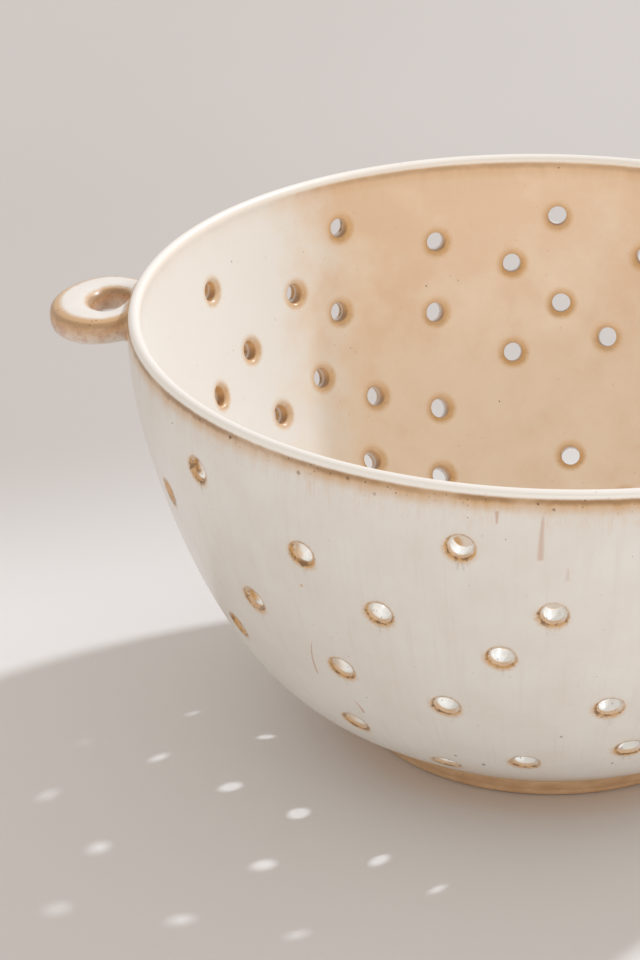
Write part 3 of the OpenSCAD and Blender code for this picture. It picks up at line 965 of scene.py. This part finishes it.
def loop_glaze(look):
    """The same glaze on a loop: white on its flat top, brown in the eye and on the upper half of the outer
    side, and speckled cream below."""
    material, net, shader, place = new_material("loop_glaze", look.roughness, GLAZE_COAT)
    side, top, root = (net.kept(name) for name in LOOP_VALUES)
    skin = net.group("Glaze skin", Place=place, Roughness=look.roughness)
    mottle = net.noise(place + (31, 7, 3), 5.0, 4.0, 0.6)
    body = net.blend(mottle.fade(0.3, 0.75), look.outside, look.outside_thin)
    grain = net.noise(place, 1.5, 4.0, 0.65) - 0.5
    wander = grain * 0.5 + (net.noise(place + (9, 1, 4), 5.0, 2.0) - 0.5) * 0.5
    level, face = top + wander, side + grain * 0.2
    outer = face.fade(0.28, 0.62) * level.fade(-0.6, 0.5, 0.15, 1.0)
    low = (side + wander).fade(0.5, 0.9) * (level.fade(-0.6, -0.9) * 0.3)
    eye = face.fade(-0.5, -0.8) * level.fade(-0.3, 0.5, 0.4, 1.0)
    # Brown where the loop meets the wall: partly glaze pooled in the joint, partly painted shade in the
    # corner
    pooled = (root + wander * 1.2).fade(1.5, 0.4)
    shown = outer.over(low).over(eye.over(pooled))
    corner = level.fade(0.35, 0.6) * top.fade(0.9, 0.75) * abs(side).fade(0.7, 0.85)
    blotch = net.noise(place + (4, 4, 40), 2.2, 4.0, 0.65).fade(0.4, 0.62, 0.12, 0.6)
    flank = abs(side).fade(0.5, 0.8) * top.fade(0.7, 0.3) * level.fade(-0.9, -0.4)
    grit = net.specks(place, 0.95, 0.3, 0.4) * shown.fade(0.0, 0.8, 0.05, 0.85)
    body = net.layers(
        body, (top.fade(0.7, 0.98) * 0.6, look.lip), (shown * 0.82, look.ochre),
        (corner * side.fade(-0.3, 0.3, 0.5, 0.35), look.brown), (blotch * flank, look.rust),
        (grit, look.speck),
    )
    surface(net, shader, body, skin["Roughness"], skin["Height"] + shown * -0.05)
    return material


def bare_clay(look):
    """Fired stoneware with turning lines round it, sand in it, and darker over its lowest 1.2 mm."""
    material, net, shader, place = new_material("bare_clay", 0.75, 0.0)
    x, y, height = place.parts()
    mottle = net.noise(place, 6.0, 4.0, 0.6)
    turned = net.node("ShaderNodeCombineXYZ", {0: (place * (1, 1, 0)).length() + height})[0]
    rings = net.noise(turned + place * (0.03, 0.03, 0.0), 0.55, 2.0)
    sand = net.noise(place, 0.4, 3.0, 0.7)
    body = net.layers(
        net.blend(mottle.fade(0.3, 0.7), look.clay, look.clay_dark),
        (net.specks(place, 1.6, 0.3, 0.35) * 0.8, look.speck), (height.fade(1.2, 0.0) * 0.35, look.clay_dark),
    )
    surface(net, shader, body, sand.fade(0.2, 0.8, 0.66, 0.86), rings * 0.16 + sand * 0.09)
    return material


def table_top(look):
    """The stage's floor: matt, pale and nearly plain, and darker behind the bowl, a painted shadow where the
    pool of light ends.
    """
    material, net, shader, place = new_material("table_top", 0.85, 0.0)
    shader.inputs["Specular IOR Level"].default_value = 0.15
    x, y, height = place.parts()
    # Painted shadow: darker behind the bowl, most on the left and a little less far back
    back = (y - x * 0.5).fade(85.0, 190.0) * x.fade(-190.0, -10.0, 1.0, 0.78) * y.fade(250.0, 400.0, 1.0, 0.9)
    tone = net.blend(back, look.floor, look.floor_painted_shade)
    cloud = net.noise(place, 160.0, 3.0).fade(0.3, 0.7, 0.0, 0.06)
    net.join(shader.inputs["Base Color"], net.blend(cloud, tone, [0.6 * part for part in look.floor]))
    return material


def lamp(name, origin, power, tint, kind="SUN"):
    """A lamp that faces the bowl from this azimuth and elevation, in degrees."""
    data = bpy.data.lights.new(name, kind)
    data.energy = power
    data.color = tint
    made = bpy.data.objects.new(name, data)
    azimuth, elevation = map(math.radians, origin)
    flat = math.cos(elevation)
    away = Vector((flat * math.cos(azimuth), flat * math.sin(azimuth), math.sin(elevation)))
    made.location = LAMP_AIM + away * LAMP_DISTANCE
    made.rotation_euler = away.to_track_quat("Z", "Y").to_euler()
    bpy.context.scene.collection.objects.link(made)
    return data


def make_table(look):
    """The floor that the bowl stands on."""
    mesh = bpy.data.meshes.new("floor")
    corners = [(FLOOR_REACH * x, FLOOR_REACH * y, 0) for x, y in ((-1, -1), (1, -1), (1, 1), (-1, 1))]
    mesh.from_pydata(corners, [], [(0, 1, 2, 3)])
    mesh.materials.append(table_top(look))
    floor = bpy.data.objects.new("floor", mesh)
    bpy.context.scene.collection.objects.link(floor)
    return floor


def make_light(scene, look):
    """Soft light from all round, the sun behind the bowl on the right, and a wide lamp in front."""
    world = bpy.data.worlds.new("soft_light")
    world.use_nodes = True
    sky = world.node_tree.nodes["Background"]
    sky.inputs["Color"].default_value = (*look.sky, 1.0)
    sky.inputs["Strength"].default_value = look.sky_strength
    scene.world = world
    sun = lamp("sun", SUN_FROM, look.sun_strength, SUN_TINT)
    sun.angle = math.radians(SUN_WIDTH)
    fill = lamp("front_fill", FILL_FROM, look.fill_power, FILL_TINT, "AREA")
    fill.shape = "RECTANGLE"
    fill.size, fill.size_y = FILL_SIDES


def make_camera(scene):
    """The camera that took the photograph, as it was fitted."""
    data = bpy.data.cameras.new("camera")
    data.sensor_width = 36.0
    data.lens = CAMERA_LENS
    data.clip_start, data.clip_end = 0.05, 50.0
    camera = bpy.data.objects.new("camera", data)
    turn = Vector(CAMERA_AHEAD).to_track_quat("-Z", "Y").to_matrix()
    turn = turn @ Matrix.Rotation(CAMERA_ROLL, 3, "Z")
    camera.matrix_world = Matrix.Translation(CAMERA_AT) @ turn.to_4x4()
    scene.collection.objects.link(camera)
    scene.camera = camera


def hue(name, description, default):
    return FloatVectorProperty(name=name, description=description, default=default, subtype="COLOR",
                               size=3, min=0.0, max=1.0)


def length(name, description, default):
    return FloatProperty(name=name, description=description, default=default, unit="LENGTH",
                         subtype="DISTANCE", min=0.0, precision=5)


def angle(name, description, degrees):
    return FloatProperty(name=name, description=description, default=math.radians(degrees), unit="ROTATION",
                         subtype="ANGLE")


def amount(name, description, default, **more):
    return FloatProperty(name=name, description=description, default=default, **{"min": 0.0, **more})


class ColanderBowlSize(bpy.types.PropertyGroup):
    """Sizes of the thrown bowl and its drain holes"""

    rim_radius: length("Rim radius", "Radius over the lip", 90 * MM)
    lip_thickness: length("Lip thickness", "Thickness of the rounded lip", 2.5 * MM)
    floor_thickness: length("Floor thickness", "Thickness of the floor", 5 * MM)
    floor_sweep: length("Floor sweep", "How far the inner curve dips to blend floor and wall", 4.4 * MM)
    foot_radius: length("Foot radius", "Radius at which the wall meets the foot ring", 44.5 * MM)
    drain_radius: length("Drain radius", "Radius of a hole, clear of the glaze that lines it", 2.1 * MM)
    drain_edge: length("Drain edge", "Radius of a hole's edge, rounded by sponge and glaze", 1.0 * MM)
    floor_circle: length("Floor circle", "Radius of the circle of holes in the floor", 19 * MM)
    floor_turn: angle("Floor turn", "Turn of that circle", 15)
    floor_drains: IntProperty(name="Floor drains", description="Holes on it", default=6, min=3, max=8)


class ColanderLoopSize(bpy.types.PropertyGroup):
    """Sizes of the two loops"""

    wall_radius: length("Wall radius", "Radius of the wall line from which the reach is counted", 88.7 * MM)
    reach: length("Reach", "How far a loop stands out from the wall", 19.7 * MM)
    sunk: length("Sunk", "How far its outer oval reaches back into the wall", 2.8 * MM)
    width: length("Width", "Width across the bowl's side", 27.6 * MM)
    thickness: length("Thickness", "Thickness of a loop", 6.2 * MM)
    eye_width: length("Eye width", "Length of the eye, across the bowl's side", 11 * MM)
    eye_reach: length("Eye reach", "Width of the eye, out from the wall", 7.4 * MM)
    eye_web: length("Eye web", "Clay between the eye and the wall", 2.9 * MM)
    drop: length("Drop", "Depth of the top face below the lip", 3.3 * MM)
    root_swell: length("Root swell", "How much a loop thickens towards the wall", 1.8 * MM)
    fillet: length("Fillet", "Radius of the smoothed joint with the wall", 1.6 * MM)
    section_power: amount("Section power", "2 is an oval section, more is squarer", 2.8, min=2.0)
    droop: angle("Droop", "Angle by which a loop droops outwards", 3.6)


class ColanderFootSize(bpy.types.PropertyGroup):
    """Sizes of the foot ring"""

    bore_radius: length("Bore radius", "Radius of the hollow under the bowl", 33 * MM)
    edge_radius: length("Edge radius", "Radius of the worn outer edge", 2.4 * MM)
    slope: length("Slope", "How far the side slopes in", 3.6 * MM)


class ColanderLook(bpy.types.PropertyGroup):
    """Colours and sheen of the glaze, the bare clay and the stage"""

    outside: hue("Outside", "Glaze on the outside", (0.82, 0.79, 0.742))
    outside_thin: hue("Outside, thin", "The same glaze where it is thin", (0.76, 0.70, 0.62))
    inside: hue("Inside", "Glaze on the inside", (0.95, 0.80, 0.63))
    inside_thin: hue("Inside, thin", "The same glaze where it is thin", (0.875, 0.67, 0.485))
    # Inside, poured: cream on the left wall, the low floor and the bores' outer halves, partly glaze and
    # partly painted sunlight
    inside_poured_and_sunlit: hue("Inside, poured", "The same glaze where it ran or pooled", (0.905, 0.92, 0.90))
    # The lip colour: the glaze's white, and on the bowl's crown partly a painted highlight
    lip: hue("Lip", "Glaze on the crown of the lip", (0.95, 0.92, 0.865))
    ochre: hue("Ochre", "Glaze where it breaks over an edge", (0.66, 0.37, 0.13))
    gold: hue("Gold", "The same break inside the bowl", (0.74, 0.46, 0.20))
    brown: hue("Brown", "The darkest part of a break", (0.20, 0.10, 0.04))
    # Bore, and gold higher up, colour the bores' inner halves: partly glaze, partly painted shade there
    bore: hue("Bore", "Glaze low down in the holes at the back", (0.46, 0.27, 0.13))
    rust: hue("Rust", "Runs and faint spots", (0.55, 0.30, 0.19))
    trail: hue("Trail", "Fine grey lines below a hole", (0.36, 0.31, 0.23))
    speck: hue("Speck", "Iron specks", (0.10, 0.055, 0.03))
    clay: hue("Clay", "Bare fired clay", (0.75, 0.51, 0.30))
    clay_dark: hue("Clay, dark", "Bare clay in its darker patches", (0.62, 0.39, 0.21))
    roughness: amount("Roughness", "Roughness of the satin glaze", 0.34, max=1.0, subtype="FACTOR")
    floor: hue("Floor", "The stage's floor", (0.80, 0.785, 0.775))
    # Floor, back: the colour of the painted shadow behind the bowl
    floor_painted_shade: hue("Floor, back", "The floor behind the bowl", (0.575, 0.545, 0.52))
    sky: hue("Sky", "Colour of the soft light from all round", (1.0, 0.93, 0.87))
    sky_strength: amount("Sky strength", "Strength of the soft light", 0.68)
    sun_strength: amount("Sun strength", "Strength of the sun, behind the bowl on the right", 1.84)
    fill_power: amount("Fill power", "Power of the wide lamp in front", 13.4, unit="POWER")


class Colander(bpy.types.PropertyGroup):
    """Everything that the colander is built from"""

    bowl: PointerProperty(type=ColanderBowlSize, name="Bowl", description="Sizes of the bowl")
    loops: PointerProperty(type=ColanderLoopSize, name="Loops", description="Sizes of the loops")
    foot: PointerProperty(type=ColanderFootSize, name="Foot", description="Sizes of the foot ring")
    look: PointerProperty(type=ColanderLook, name="Look", description="Colours and sheen")


class COLANDER_OT_bowl(bpy.types.Operator):
    """Make the glazed bowl with its drain holes"""

    bl_idname = "colander.bowl"
    bl_label = "Bowl"

    def execute(self, context):
        colander = context.scene.colander
        piece = make_bowl(colander.bowl, bowl_glaze(colander.look))
        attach(piece, "root")
        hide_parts("bowl")
        return {"FINISHED"}


class COLANDER_OT_loops(bpy.types.Operator):
    """Make the two loops luted under the lip"""

    bl_idname = "colander.loops"
    bl_label = "Loops"

    def execute(self, context):
        colander = context.scene.colander
        glaze = loop_glaze(colander.look)
        line = bowl_line(colander.bowl)
        loops = ("right_loop", "right_handle", False), ("left_loop", "left_handle", True)
        for name, node, half_turn in loops:
            piece = make_loop(colander.loops, line, name, half_turn, glaze)
            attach(piece, "root")
            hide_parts(node)
        return {"FINISHED"}


class COLANDER_OT_foot(bpy.types.Operator):
    """Make the bare foot ring"""

    bl_idname = "colander.foot"
    bl_label = "Foot ring"

    def execute(self, context):
        colander = context.scene.colander
        piece = make_foot(colander.foot, colander.bowl.foot_radius, bare_clay(colander.look))
        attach(piece, "root")
        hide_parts("foot_ring")
        return {"FINISHED"}


class COLANDER_OT_stage(bpy.types.Operator):
    """Make the floor, the lamps, the soft light all round and the camera"""

    bl_idname = "colander.stage"
    bl_label = "Stage"

    def execute(self, context):
        look = context.scene.colander.look
        floor = make_table(look)
        make_light(context.scene, look)
        make_camera(context.scene)
        context.scene.view_settings.view_transform = "Standard"
        return {"FINISHED"}


class COLANDER_PT_panel(bpy.types.Panel):
    """Sizes, colours and buttons of the colander"""

    bl_label = "Colander"
    bl_idname = "COLANDER_PT_panel"
    bl_space_type = "VIEW_3D"
    bl_region_type = "UI"
    bl_category = "Colander"

    def draw(self, context):
        for name, operator in (("bowl", "bowl"), ("loops", "loops"), ("foot", "foot"), ("look", "stage")):
            part = getattr(context.scene.colander, name)
            box = self.layout.box()
            box.label(text=name.capitalize())
            for key in part.__annotations__:
                box.prop(part, key)
            box.operator("colander." + operator)


CLASSES = (
    ColanderBowlSize, ColanderLoopSize, ColanderFootSize, ColanderLook, Colander,
    COLANDER_OT_bowl, COLANDER_OT_loops, COLANDER_OT_foot, COLANDER_OT_stage, COLANDER_PT_panel,
)


def register():
    for each in CLASSES:
        bpy.utils.register_class(each)
    bpy.types.Scene.colander = PointerProperty(type=Colander)


def unregister():
    del bpy.types.Scene.colander
    for each in reversed(CLASSES):
        bpy.utils.unregister_class(each)


def main():
    register()
    bpy.ops.colander.bowl()
    bpy.ops.colander.loops()
    bpy.ops.colander.foot()
    bpy.ops.colander.stage()


if __name__ == "__main__":
    main()
